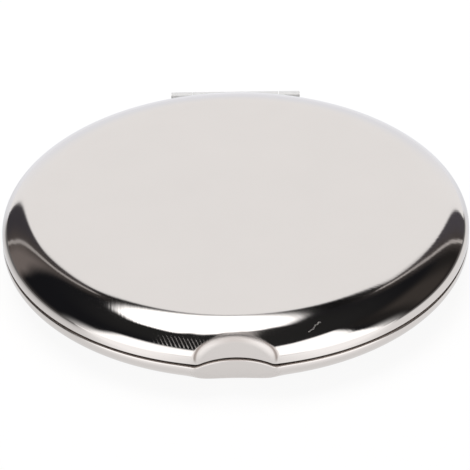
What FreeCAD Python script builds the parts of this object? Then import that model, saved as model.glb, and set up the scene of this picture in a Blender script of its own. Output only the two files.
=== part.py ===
# Round pocket compact mirror, closed: two pressed steel halves on a rolled hinge,
# each with a moulded frame that holds a mirror.
# Millimetres, +Z up. The origin is the centre of the flat underside. The thumb scoop
# faces -Y and the hinge is at +Y. The lid is the base mirrored in the seam plane.

import FreeCAD, Part
import math
import os

# Case halves, pressed from sheet
CASE_RADIUS = 35.0
SHOULDER_WIDTH = 7.0
RIM_BAND = 0.5
SHELL_SHEET = 0.5
RIM_EDGE_ROUND = 0.15
SEAM_GAP = 0.5

# Thumb scoop, pressed into the front of both halves
SCOOP_RADIUS = 9.4
SCOOP_DEPTH = 2.1
SCOOP_EDGE_ROUND = 0.5

# Mirrors: the lid's is flat, the base's is dished to magnify
GLASS_THICKNESS = 1.8
GLASS_CHAMFER = 0.3
MIRROR_SAG = 0.6
MIRROR_BACK_GAP = 0.2
GLASS_CLEARANCE = 0.1

# Foam pads that press each mirror against its frame
PAD_INSET = 1.0
PAD_RING_WIDTH = 7.0
PAD_CLEARANCE = 0.03

# Moulded frames
BEZEL_WIDTH = 5.3
MIRROR_LAP = 0.8
LIP_THICKNESS = 0.8
LIP_EDGE_CHAMFER = 0.4
FRAME_RECESS = 0.3
FRAME_CLEARANCE = 0.05
SKIRT_WALL = 1.0
SKIRT_FOOT_GAP = 0.3
RIB_THICKNESS = 0.8
RIB_COUNT = 20

# Hinge, rolled from strip round a plain pin
HINGE_LENGTH = 20.4
END_KNUCKLE_LENGTH = 3.3
KNUCKLE_GAP = 0.1
PIN_RADIUS = 0.9
PIN_END_CHAMFER = 0.2
PIN_SEAT_CLEARANCE = 0.01
PIN_RUNNING_CLEARANCE = 0.03
LEAF_SHEET = 0.45
LEAF_CLEARANCE = 0.05
ROLL_GAP = 0.1
HINGE_SETBACK = 1.0
HINGE_CLEARANCE = 0.4
CUTOUT_CORNER_ROUND = 0.4

# Rivets that hold each hinge leaf to its frame
RIVET_SPACING = 11.0
RIVET_SHANK_RADIUS = 0.5
RIVET_HEAD_RADIUS = 0.95
RIVET_HEAD_HEIGHT = 0.2
RIVET_TAIL_RADIUS = 0.8
RIVET_TAIL_HEIGHT = 0.3
RIVET_CLEARANCE = 0.02

# Magnetic catch: disc magnets in the base, steel plates in the lid
CATCH_RADIUS = 1.5
CATCH_THICKNESS = 1.0
CATCH_CHAMFER = 0.15
CATCH_RECESS = 0.05
CATCH_CLEARANCE = 0.05
CATCH_POCKET_WALL = 0.6
CATCH_ANGLE_DEG = 25.0

# Soft bumpers that hold the closed rims apart
BUMPER_RADIUS = 1.2
BUMPER_STEM_RADIUS = 0.8
BUMPER_EDGE_ROUND = 0.25
BUMPER_CLEARANCE = 0.05
BUMPER_ANGLE_DEG = 52.0

# Working values
CUT_OVERRUN = 2.0
TOUCH = 0.001
FULL_TURN_DEG = 360.0
QUARTER_TURN = math.pi / 2
Z_AXIS = FreeCAD.Vector(0, 0, 1)
X_AXIS = FreeCAD.Vector(1, 0, 0)

# Heights, counted up from the underside of the base
face_radius = CASE_RADIUS - SHOULDER_WIDTH
pad_thickness = MIRROR_SAG + MIRROR_BACK_GAP
glass_back_z = SHELL_SHEET + pad_thickness
glass_front_z = glass_back_z + GLASS_THICKNESS
frame_face_z = glass_front_z + LIP_THICKNESS
half_height = frame_face_z + FRAME_RECESS
shoulder_height = half_height - RIM_BAND
seam_z = half_height + SEAM_GAP / 2
frame_gap = SEAM_GAP + 2 * FRAME_RECESS

# Radii
wall_radius = CASE_RADIUS - SHELL_SHEET
opening_radius = wall_radius - BEZEL_WIDTH
glass_radius = opening_radius + MIRROR_LAP
skirt_inner_radius = glass_radius + GLASS_CLEARANCE
skirt_outer_radius = skirt_inner_radius + SKIRT_WALL
bezel_middle_radius = (skirt_inner_radius + wall_radius) / 2
pad_radius = min(face_radius, glass_radius) - PAD_INSET

# Scoop and hinge places
scoop_axis_y = SCOOP_DEPTH - CASE_RADIUS - SCOOP_RADIUS
hinge_y = CASE_RADIUS + HINGE_SETBACK
bore_radius = PIN_RADIUS + PIN_RUNNING_CLEARANCE
knuckle_radius = bore_radius + LEAF_SHEET
leaf_bottom_z = seam_z - knuckle_radius
leaf_top_z = leaf_bottom_z + LEAF_SHEET
leaf_front_y = skirt_outer_radius + LEAF_CLEARANCE
knuckle_front_y = hinge_y - knuckle_radius - HINGE_CLEARANCE
cutout_half_width = HINGE_LENGTH / 2 + HINGE_CLEARANCE
middle_knuckle_half = HINGE_LENGTH / 2 - END_KNUCKLE_LENGTH - KNUCKLE_GAP
rivet_y = (leaf_front_y + math.sqrt(wall_radius**2 - (RIVET_SPACING / 2) ** 2)) / 2


def point(radius, height):
    """A point of a turned profile, in the XZ plane."""
    return FreeCAD.Vector(radius, 0, height)


def line(start, end):
    """A straight edge."""
    return Part.LineSegment(start, end).toShape()


def turned(edges):
    """The solid that a closed profile in the XZ plane makes when it is turned about Z."""
    profile = Part.Face(Part.Wire(Part.__sortEdges__(edges)))
    return profile.revolve(FreeCAD.Vector(0, 0, 0), Z_AXIS, FULL_TURN_DEG)


def turned_polygon(*points):
    """A turned solid whose profile has only straight sides."""
    ends = points[1:] + points[:1]
    return turned([line(start, end) for start, end in zip(points, ends)])


def ring(inner, outer, bottom, top):
    """A plain upright ring about Z."""
    return turned_polygon(point(inner, bottom), point(outer, bottom), point(outer, top), point(inner, top))


def disc(radius, bottom, top, x=0, y=0):
    """An upright cylinder between two heights."""
    return Part.makeCylinder(radius, top - bottom, FreeCAD.Vector(x, y, bottom))


def block(x_span, y_span, z_span):
    """A box between two corners, given as a span on each axis."""
    low = FreeCAD.Vector(x_span[0], y_span[0], z_span[0])
    size = [span[1] - span[0] for span in (x_span, y_span, z_span)]
    return Part.makeBox(*size, low)


def placed(shape, x, y, z=0):
    """A copy of a shape, moved."""
    moved = shape.copy()
    moved.translate(FreeCAD.Vector(x, y, z))
    return moved


def in_lid(shape):
    """The lid's copy of a shape of the base, mirrored in the seam plane."""
    return shape.mirror(FreeCAD.Vector(0, 0, seam_z), Z_AXIS)


def at_angle(radius, angle_deg):
    """X and Y at a radius, with the angle counted from the front towards +X."""
    angle = math.radians(angle_deg)
    return radius * math.sin(angle), -radius * math.cos(angle)


def shoulder_arc(inset):
    """The quarter ellipse of the shoulder, set in from the outer surface."""
    centre = point(face_radius, shoulder_height)
    rim_end = point(CASE_RADIUS - inset, shoulder_height)
    face_end = point(face_radius, inset)
    if SHOULDER_WIDTH > shoulder_height:
        ellipse = Part.Ellipse(rim_end, face_end, centre)
    else:
        ellipse = Part.Ellipse(face_end, rim_end, centre)
    return Part.ArcOfEllipse(ellipse, 0, QUARTER_TURN).toShape()


def bowl(inset, top):
    """The case half as a full solid up to a height, set in from the outer surface."""
    return turned([
        line(point(0, inset), point(face_radius, inset)),
        shoulder_arc(inset),
        line(point(CASE_RADIUS - inset, shoulder_height), point(CASE_RADIUS - inset, top)),
        line(point(CASE_RADIUS - inset, top), point(0, top)),
        line(point(0, top), point(0, inset)),
    ])


def scoop(inset):
    """The upright cylinder that the thumb scoop follows, grown by the inset."""
    top = half_height + 2 * CUT_OVERRUN
    return disc(SCOOP_RADIUS + inset, -CUT_OVERRUN, top, y=scoop_axis_y)


def cavity(clearance, top):
    """The room inside a shell, less a clearance to its walls."""
    inset = SHELL_SHEET + clearance
    return bowl(inset, top).cut(scoop(inset))


def edge_middle(edge):
    """The point halfway along an edge."""
    return edge.valueAt((edge.FirstParameter + edge.LastParameter) / 2)


def scoop_border(solid):
    """The edges where the scoop breaks the outside of a case half, apart from those of the rim."""
    border = []
    for edge in solid.Edges:
        middle = edge_middle(edge)
        from_axis = math.hypot(middle.x, middle.y - scoop_axis_y)
        if abs(from_axis - SCOOP_RADIUS) < TOUCH and middle.z < half_height - TOUCH:
            border.append(edge)
    return border


def rim_edges(solid):
    """The outer edges in the plane of the rim, scoop included but not the hinge window."""
    edges = []
    for edge in solid.Edges:
        middle = edge_middle(edge)
        in_window = middle.y > 0 and abs(middle.x) < cutout_half_width + TOUCH
        if abs(middle.z - half_height) < TOUCH and not in_window:
            edges.append(edge)
    return edges


def hinge_cutout():
    """The window in the rear wall that the hinge passes through, with radial sides."""
    half_angle = math.degrees(math.asin(cutout_half_width / wall_radius))
    floor = FreeCAD.Vector(0, 0, leaf_bottom_z - HINGE_CLEARANCE)
    height = half_height + CUT_OVERRUN - floor.z
    sector = Part.makeCylinder(CASE_RADIUS + CUT_OVERRUN, height, floor, Z_AXIS, 2 * half_angle)
    sector.rotate(floor, Z_AXIS, FULL_TURN_DEG / 4 - half_angle)
    window = sector.cut(disc(opening_radius, floor.z - CUT_OVERRUN, half_height + 2 * CUT_OVERRUN))
    lower_sides = [
        edge
        for edge in window.Edges
        if isinstance(edge.Curve, Part.Line) and abs(edge_middle(edge).z - floor.z) < TOUCH
    ]
    return window.makeFillet(CUTOUT_CORNER_ROUND, lower_sides)


def shell():
    """A pressed case half: flat face, shoulder, rim, thumb scoop and hinge window."""
    outside = bowl(0, half_height).cut(scoop(0))
    outside = outside.makeFillet(SCOOP_EDGE_ROUND, scoop_border(outside)).cut(hinge_cutout())
    outside = outside.makeFillet(RIM_EDGE_ROUND, rim_edges(outside))
    return outside.cut(cavity(0, half_height + CUT_OVERRUN))


def rivet_places():
    """X and Y of the rivets of one leaf."""
    return [(side * RIVET_SPACING / 2, rivet_y) for side in (-1, 1)]


def catch_places():
    """X and Y of the magnets and of the plates above them."""
    return [at_angle(bezel_middle_radius, side * CATCH_ANGLE_DEG) for side in (-1, 1)]


def bumper_places():
    """Name, X and Y of each bumper."""
    places = []
    for end, angle in (("front", BUMPER_ANGLE_DEG), ("rear", FULL_TURN_DEG / 2 - BUMPER_ANGLE_DEG)):
        for hand, side in (("left", -1), ("right", 1)):
            places.append((end + "_" + hand, *at_angle(bezel_middle_radius, side * angle)))
    return places


def frame_ribs():
    """Stiffening ribs from the skirt to the shell, under the bezel."""
    rib = block(
        (skirt_inner_radius + SKIRT_WALL / 2, CASE_RADIUS),
        (-RIB_THICKNESS / 2, RIB_THICKNESS / 2),
        (0, frame_face_z - LIP_THICKNESS / 2),
    )
    ribs = []
    for index in range(RIB_COUNT):
        turned_rib = rib.copy()
        turned_rib.rotate(FreeCAD.Vector(0, 0, 0), Z_AXIS, FULL_TURN_DEG * (index + 1 / 2) / RIB_COUNT)
        ribs.append(turned_rib)
    return ribs


def frame(with_bumpers):
    """A moulded frame: bezel, skirt round the glass, ribs, catch pockets and hinge seat."""
    bezel = turned_polygon(
        point(opening_radius, glass_front_z),
        point(CASE_RADIUS, glass_front_z),
        point(CASE_RADIUS, frame_face_z),
        point(opening_radius + LIP_EDGE_CHAMFER, frame_face_z),
        point(opening_radius, frame_face_z - LIP_EDGE_CHAMFER),
    )
    middle_z = frame_face_z - LIP_THICKNESS / 2
    skirt = ring(skirt_inner_radius, skirt_outer_radius, SHELL_SHEET + SKIRT_FOOT_GAP, middle_z)
    pocket_floor_z = frame_face_z - CATCH_RECESS - CATCH_THICKNESS - CATCH_CLEARANCE
    pocket_radius = CATCH_RADIUS + CATCH_CLEARANCE
    boss_foot_z = pocket_floor_z - CATCH_POCKET_WALL
    bosses = [
        disc(pocket_radius + CATCH_POCKET_WALL, boss_foot_z, middle_z, x, y) for x, y in catch_places()
    ]
    body = bezel.fuse([skirt, *frame_ribs(), *bosses])
    body = body.common(cavity(FRAME_CLEARANCE, half_height))
    glass_room = disc(skirt_inner_radius, 0, glass_front_z)
    leaf_room = block(
        (-cutout_half_width, cutout_half_width),
        (skirt_outer_radius, hinge_y),
        (0, leaf_top_z + LEAF_CLEARANCE),
    )
    barrel_room = block(
        (-cutout_half_width, cutout_half_width),
        (knuckle_front_y, hinge_y),
        (0, half_height),
    )
    rivet_holes = [
        disc(RIVET_SHANK_RADIUS + RIVET_CLEARANCE, 0, half_height, x, y) for x, y in rivet_places()
    ]
    pockets = [disc(pocket_radius, pocket_floor_z, half_height, x, y) for x, y in catch_places()]
    cuts = [glass_room, leaf_room, barrel_room, *rivet_holes, *pockets]
    if with_bumpers:
        stem_hole_radius = BUMPER_STEM_RADIUS + BUMPER_CLEARANCE
        cuts += [
            disc(stem_hole_radius, glass_front_z - BUMPER_CLEARANCE, half_height, x, y)
            for _, x, y in bumper_places()
        ]
    return body.cut(cuts)


def flat_mirror():
    """Plain mirror glass with ground edges, against the back of its frame's lip."""
    return turned_polygon(
        point(0, glass_back_z),
        point(glass_radius - GLASS_CHAMFER, glass_back_z),
        point(glass_radius, glass_back_z + GLASS_CHAMFER),
        point(glass_radius, glass_front_z - GLASS_CHAMFER),
        point(glass_radius - GLASS_CHAMFER, glass_front_z),
        point(0, glass_front_z),
    )


def dished_height(radius, edge_z):
    """Height of a face that sags by MIRROR_SAG from the rim of the glass to its centre."""
    return edge_z - MIRROR_SAG * (1 - (radius / glass_radius) ** 2)


def dished_arc(inner, outer, edge_z):
    """An arc along a dished face, between two radii."""
    middle = (inner + outer) / 2
    return Part.Arc(*[point(r, dished_height(r, edge_z)) for r in (inner, middle, outer)]).toShape()


def dished_mirror():
    """Magnifying mirror glass: both faces dished alike, so the glass keeps its thickness."""
    return turned([
        dished_arc(0, glass_radius, glass_back_z),
        line(point(glass_radius, glass_back_z), point(glass_radius, glass_front_z)),
        dished_arc(0, glass_radius, glass_front_z),
        line(point(0, dished_height(0, glass_front_z)), point(0, dished_height(0, glass_back_z))),
    ])


def flat_pad():
    """Foam disc behind the flat mirror."""
    return disc(pad_radius, SHELL_SHEET, glass_back_z)


def ring_pad():
    """Foam ring behind the dished mirror, shaped to its back."""
    inner = pad_radius - PAD_RING_WIDTH
    top = glass_back_z - PAD_CLEARANCE
    return turned([
        line(point(inner, SHELL_SHEET), point(pad_radius, SHELL_SHEET)),
        line(point(pad_radius, SHELL_SHEET), point(pad_radius, dished_height(pad_radius, top))),
        dished_arc(inner, pad_radius, top),
        line(point(inner, dished_height(inner, top)), point(inner, SHELL_SHEET)),
    ])


def barrel(radius, x_span):
    """A cylinder on the hinge axis, between two X."""
    start = FreeCAD.Vector(x_span[0], hinge_y, seam_z)
    return Part.makeCylinder(radius, x_span[1] - x_span[0], start, X_AXIS)


def hinge_leaf(knuckle_spans, knuckle_bore):
    """A strip under the bezel, with tongues out to the rear that are rolled round the pin."""
    half_length = HINGE_LENGTH / 2
    strip = block((-half_length, half_length), (leaf_front_y, knuckle_front_y), (leaf_bottom_z, leaf_top_z))
    leaf = strip.common(disc(wall_radius - LEAF_CLEARANCE, 0, half_height))
    for span in knuckle_spans:
        tongue = block(span, (leaf_front_y, hinge_y), (leaf_bottom_z, leaf_top_z))
        split = block(span, (leaf_front_y, hinge_y), (leaf_top_z, leaf_top_z + ROLL_GAP))
        roll = barrel(knuckle_radius, span).cut(split)
        leaf = leaf.fuse(tongue.fuse(roll).cut(barrel(knuckle_bore, span)))
    holes = [
        disc(RIVET_SHANK_RADIUS + RIVET_CLEARANCE, 0, half_height, x, y) for x, y in rivet_places()
    ]
    return leaf.removeSplitter().cut(holes)


def end_knuckles():
    """X spans of the two outer knuckles, which are the base's."""
    half_length = HINGE_LENGTH / 2
    inner = half_length - END_KNUCKLE_LENGTH
    return [(-half_length, -inner), (inner, half_length)]


def hinge_pin():
    """Plain pin with chamfered ends, tight in the outer knuckles."""
    half_length = HINGE_LENGTH / 2
    rod = barrel(PIN_RADIUS, (-half_length, half_length))
    ends = [edge for edge in rod.Edges if abs(abs(edge_middle(edge).x) - half_length) < TOUCH]
    return rod.makeChamfer(PIN_END_CHAMFER, ends)


def rivet():
    """A rivet on the Z axis: domed head on the bezel, shank, and a tail set against the leaf."""
    tail_z = leaf_bottom_z - RIVET_TAIL_HEIGHT
    crown_z = frame_face_z + RIVET_HEAD_HEIGHT
    dome_radius = (RIVET_HEAD_RADIUS**2 + RIVET_HEAD_HEIGHT**2) / (2 * RIVET_HEAD_HEIGHT)
    dome_middle = RIVET_HEAD_RADIUS / 2
    dome_middle_z = crown_z - dome_radius + math.sqrt(dome_radius**2 - dome_middle**2)
    corners = [
        point(0, crown_z),
        point(0, tail_z),
        point(RIVET_SHANK_RADIUS, tail_z),
        point(RIVET_TAIL_RADIUS, leaf_bottom_z),
        point(RIVET_SHANK_RADIUS, leaf_bottom_z),
        point(RIVET_SHANK_RADIUS, frame_face_z),
        point(RIVET_HEAD_RADIUS, frame_face_z),
    ]
    edges = [line(start, end) for start, end in zip(corners, corners[1:])]
    edges.append(Part.Arc(corners[-1], point(dome_middle, dome_middle_z), corners[0]).toShape())
    return turned(edges)


def rivets():
    """The rivets of one leaf, as separate solids."""
    return Part.makeCompound([placed(rivet(), x, y) for x, y in rivet_places()])


def catch_disc(x, y):
    """A disc in its pocket, a little below the bezel: a magnet in the base, a plate in the lid."""
    top = frame_face_z - CATCH_RECESS
    body = disc(CATCH_RADIUS, top - CATCH_THICKNESS, top, x, y)
    return body.makeChamfer(CATCH_CHAMFER, [edge for edge in body.Edges if edge.Closed])


def bumper(x, y):
    """A soft button: a stem in the bezel and a round head that meets the lid's bezel."""
    head_top = frame_face_z + frame_gap - BUMPER_CLEARANCE
    stem = disc(BUMPER_STEM_RADIUS, glass_front_z, frame_face_z + frame_gap / 2, x, y)
    head = disc(BUMPER_RADIUS, frame_face_z, head_top, x, y)
    top_edges = [edge for edge in head.Edges if edge.Closed and abs(edge_middle(edge).z - head_top) < TOUCH]
    return head.makeFillet(BUMPER_EDGE_ROUND, top_edges).fuse(stem).removeSplitter()


def base_nodes():
    """The pieces that stay with the base."""
    nodes = {
        "base_shell": shell(),
        "base_frame": frame(with_bumpers=True),
        "base_mirror": dished_mirror(),
        "base_mirror_pad": ring_pad(),
        "base_hinge_leaf": hinge_leaf(end_knuckles(), PIN_RADIUS + PIN_SEAT_CLEARANCE),
        "base_hinge_rivets": rivets(),
        "hinge_pin": hinge_pin(),
    }
    for hand, (x, y) in zip(("left", "right"), catch_places()):
        nodes["catch_magnet_" + hand] = catch_disc(x, y)
    for place, x, y in bumper_places():
        nodes["bumper_" + place] = bumper(x, y)
    return nodes


def lid_nodes():
    """The pieces that swing with the lid."""
    middle_span = (-middle_knuckle_half, middle_knuckle_half)
    nodes = {
        "lid_shell": in_lid(shell()),
        "lid_frame": in_lid(frame(with_bumpers=False)),
        "lid_mirror": in_lid(flat_mirror()),
        "lid_mirror_pad": in_lid(flat_pad()),
        "lid_hinge_leaf": in_lid(hinge_leaf([middle_span], bore_radius)),
        "lid_hinge_rivets": in_lid(rivets()),
    }
    for hand, (x, y) in zip(("left", "right"), catch_places()):
        nodes["catch_plate_" + hand] = in_lid(catch_disc(x, y))
    return nodes


def main():
    """Writes one file for each piece."""
    os.makedirs("parts", exist_ok=True)
    for name, shape in {**base_nodes(), **lid_nodes()}.items():
        shape.exportStep(os.path.join("parts", name + ".step"))
        print(name, "solids", len(shape.Solids), "valid", shape.isValid(), "mm3", round(shape.Volume, 2))


main()
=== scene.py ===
import math

import bpy
import numpy as np
from mathutils import Matrix, Vector


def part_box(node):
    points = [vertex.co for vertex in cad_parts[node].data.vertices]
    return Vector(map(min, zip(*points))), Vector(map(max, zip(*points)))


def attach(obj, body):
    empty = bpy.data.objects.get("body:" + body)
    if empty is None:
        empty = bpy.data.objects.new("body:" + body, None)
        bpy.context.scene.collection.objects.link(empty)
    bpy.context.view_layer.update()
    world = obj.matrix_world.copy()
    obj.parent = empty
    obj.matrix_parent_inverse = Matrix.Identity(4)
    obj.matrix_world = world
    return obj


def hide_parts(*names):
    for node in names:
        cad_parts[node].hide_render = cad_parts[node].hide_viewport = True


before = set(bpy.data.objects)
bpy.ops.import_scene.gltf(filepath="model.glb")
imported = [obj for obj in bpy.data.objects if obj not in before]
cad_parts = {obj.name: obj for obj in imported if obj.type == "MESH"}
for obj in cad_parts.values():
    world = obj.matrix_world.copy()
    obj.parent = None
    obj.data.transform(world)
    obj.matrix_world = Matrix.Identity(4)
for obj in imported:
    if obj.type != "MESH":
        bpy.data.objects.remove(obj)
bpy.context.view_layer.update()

bl_info = {
    "name": "Round compact mirror",
    "version": (1, 0, 0),
    "blender": (4, 5, 0),
    "location": "View3D > Sidebar > Compact",
    "description": "Makes the looks of a round steel compact mirror round its packed model",
    "category": "Object",
}

# Metres, +Z up. The thumb scoop faces -Y and the hinge is at +Y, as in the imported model.
# Angles round the case are counted from the scoop towards +X.
MM = 0.001
BASE_LOW, BASE_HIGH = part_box("base_shell")
CASE_RADIUS = BASE_HIGH.x
BASE_RIM_Z = BASE_HIGH.z
LID_RIM_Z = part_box("lid_shell")[0].z
HALF_HEIGHT = BASE_RIM_Z - BASE_LOW.z
SEAM_Z = (BASE_RIM_Z + LID_RIM_Z) / 2
HINGE_LOW, HINGE_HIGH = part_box("base_hinge_leaf")
# Setting of a colour that a pattern darkens, and the part of a noise's values that counts.
TINT = {"blend_type": "MULTIPLY"}
NOISE_SPAN = (0.3, 0.7)


def linear(hex_colour):
    """A #rrggbb colour as linear red, green, blue and alpha."""
    parts = [int(hex_colour[i : i + 2], 16) / 255 for i in (1, 3, 5)]
    return (*[c / 12.92 if c <= 0.04045 else ((c + 0.055) / 1.055) ** 2.4 for c in parts], 1.0)


def length(name, description, default):
    """A length that the user can change."""
    return bpy.props.FloatProperty(
        name=name, description=description, default=default, min=0.0, precision=5,
        unit="LENGTH", subtype="DISTANCE",
    )


def angle(name, description, degrees):
    """An angle that the user can change."""
    return bpy.props.FloatProperty(
        name=name, description=description, default=math.radians(degrees),
        unit="ROTATION", subtype="ANGLE",
    )


def colour(name, description, hex_colour):
    """A colour that the user can change."""
    return bpy.props.FloatVectorProperty(
        name=name, description=description, default=linear(hex_colour), size=4, min=0.0, max=1.0,
        subtype="COLOR",
    )


class CompactCase(bpy.types.PropertyGroup):
    """Sizes of the two pressed case halves."""

    shoulder_width: length("Shoulder width", "From the flat face to the rim, seen from above", 7.0 * MM)
    rim_band: length("Rim band", "Upright band between shoulder and rim", 0.5 * MM)
    sheet: length("Sheet", "Thickness of the pressed sheet", 0.5 * MM)
    rim_reach: length("Rim reach", "How far each rim reaches into the seam", 0.085 * MM)
    lid_rim_round: length("Lid rim round", "Rounding of the lid's cut edge", 0.12 * MM)
    base_rim_round: length("Base rim round", "Rounding of the base's rolled edge", 0.38 * MM)
    scoop_radius: length("Scoop radius", "Radius of the thumb scoop", 9.4 * MM)
    scoop_depth: length("Scoop depth", "How far the thumb scoop goes in", 2.1 * MM)
    scoop_round: length("Scoop round", "Rounding where the shoulder turns down into the scoop", 0.8 * MM)
    rim_corner: length("Rim corner", "Rounding of the scoop's corners at the rim", 0.3 * MM)
    lid_lip_height: length("Lid lip height", "Rise of the scoop's border on the lid", 0.05 * MM)
    base_lip_height: length("Base lip height", "Rise of the scoop's border on the base", 0.22 * MM)
    lip_width: length("Lip width", "Width of the raised border", 3.0 * MM)
    window_clearance: length("Window clearance", "Room round the hinge in the rear wall", 0.4 * MM)


class CompactMirrors(bpy.types.PropertyGroup):
    """Sizes of the mirrors and of the foam behind them."""

    chamfer: length("Ground edge", "Width of the ground edge of the glass", 0.3 * MM)
    sag: length("Sag", "Depth of the magnifying mirror", 0.6 * MM)
    foam_round: length("Foam round", "Rounding of the cut foam's edges", 0.2 * MM)
    foam_gap: length("Foam gap", "Room between foam and glass", 0.03 * MM)
    ring_width: length("Ring width", "Width of the foam ring behind the magnifying mirror", 7.0 * MM)


class CompactColours(bpy.types.PropertyGroup):
    """Colours of the finishes."""

    steel: colour("Steel", "Mirror polished stainless steel", "#e1dcd9")
    # Colour of the painted shade line along the lid's border of the scoop.
    paste: colour("Paste", "Polishing paste along the scoop's border", "#aaa19c")
    cut_edge: colour("Cut edge", "Sheared and ground edge of the sheet", "#b5aaa3")
    plating: colour("Plating", "Satin chrome on the frames", "#c6c6c8")
    silver: colour("Silver", "Silvered face of the glass", "#eef2f0")
    glass_edge: colour("Glass edge", "Ground edge of the glass", "#a9c2b6")
    backing: colour("Backing", "Paint on the back of the glass", "#7d8584")
    strip: colour("Strip", "Rolled hinge strip", "#dbdad9")
    wire: colour("Wire", "Drawn hinge pin", "#c4c3c2")
    nickel: colour("Nickel", "Nickel plated rivets and magnets", "#d3cbbd")
    zinc: colour("Zinc", "Zinc plated catch plates", "#c3c8cc")
    silicone: colour("Silicone", "Soft bumpers", "#eceae4")
    foam: colour("Foam", "Pads behind the glass", "#e4e2dc")


class CompactStudio(bpy.types.PropertyGroup):
    """Camera, floor and light."""

    distance: length("Distance", "From the camera to the middle of the seam", 490.0 * MM)
    azimuth: angle("Azimuth", "Turn of the camera from the front towards +X", 0.55)
    elevation: angle("Elevation", "Height of the camera above the horizon", 34.37)
    roll: angle("Roll", "Turn of the picture", -0.99)
    lens: length("Lens", "Focal length on a 36 mm sensor", 249.8 * MM)
    aim_right: length("Aim right", "How far the picture's middle lies left of the case's", 0.09 * MM)
    aim_down: length("Aim down", "How far the picture's middle lies below the case's", 1.08 * MM)
    floor: colour("Floor", "Pale floor", "#f2efee")
    dome: length("Dome", "Distance of the studio's cards", 4000.0 * MM)


class Shader:
    """The node tree of a material or a world, built up from nothing.

    An input of a node is a value, a socket to link, or a node whose first output is linked.
    """

    def __init__(self, owner):
        owner.use_nodes = True
        self.tree = owner.node_tree
        self.tree.nodes.clear()

    def add(self, kind, inputs=(), settings=()):
        """Adds a node."""
        node = self.tree.nodes.new("ShaderNode" + kind)
        for name, value in dict(settings).items():
            setattr(node, name, value)
        for key, value in dict(inputs).items():
            if isinstance(value, bpy.types.Node):
                value = value.outputs[0]
            if isinstance(value, bpy.types.NodeSocket):
                self.tree.links.new(value, node.inputs[key])
            else:
                node.inputs[key].default_value = value
        return node

    def math(self, operation, *values):
        """Adds a step of working with numbers."""
        return self.add("Math", dict(enumerate(values)), {"operation": operation})

    def vector(self, operation, *values):
        """Adds a step of working with vectors, and gives the vector or number that comes out."""
        result = "Value" if operation in ("DISTANCE", "DOT_PRODUCT", "LENGTH") else "Vector"
        return self.add("VectorMath", dict(enumerate(values)), {"operation": operation}).outputs[result]

    def ramp(self, value, low, high, start=0.0, end=1.0, kind="LINEAR"):
        """Adds a ramp from one level, where the value is low, to another, where it is high."""
        ends = {"Value": value, "From Min": low, "From Max": high, "To Min": start, "To Max": end}
        return self.add("MapRange", ends, {"interpolation_type": kind})

    def soft_ramp(self, *values):
        """Adds a ramp that starts and ends softly."""
        return self.ramp(*values, kind="SMOOTHSTEP")

    def noise(self, place, size, detail):
        """Adds a noise of about the given size."""
        return self.add("TexNoise", {"Vector": place, "Scale": 1 / size, "Detail": detail})


class Finish(Shader):
    """A material. Its place is where each point lies on its piece."""

    def __init__(self, name):
        self.material = bpy.data.materials.new(name)
        super().__init__(self.material)
        self.place = self.add("TexCoord").outputs["Object"]

    def done(self, kind, look):
        """Ends the material with a surface of that kind and look."""
        surface = self.add(kind, look)
        self.add("OutputMaterial", {"Surface": surface})
        return self.material


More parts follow.
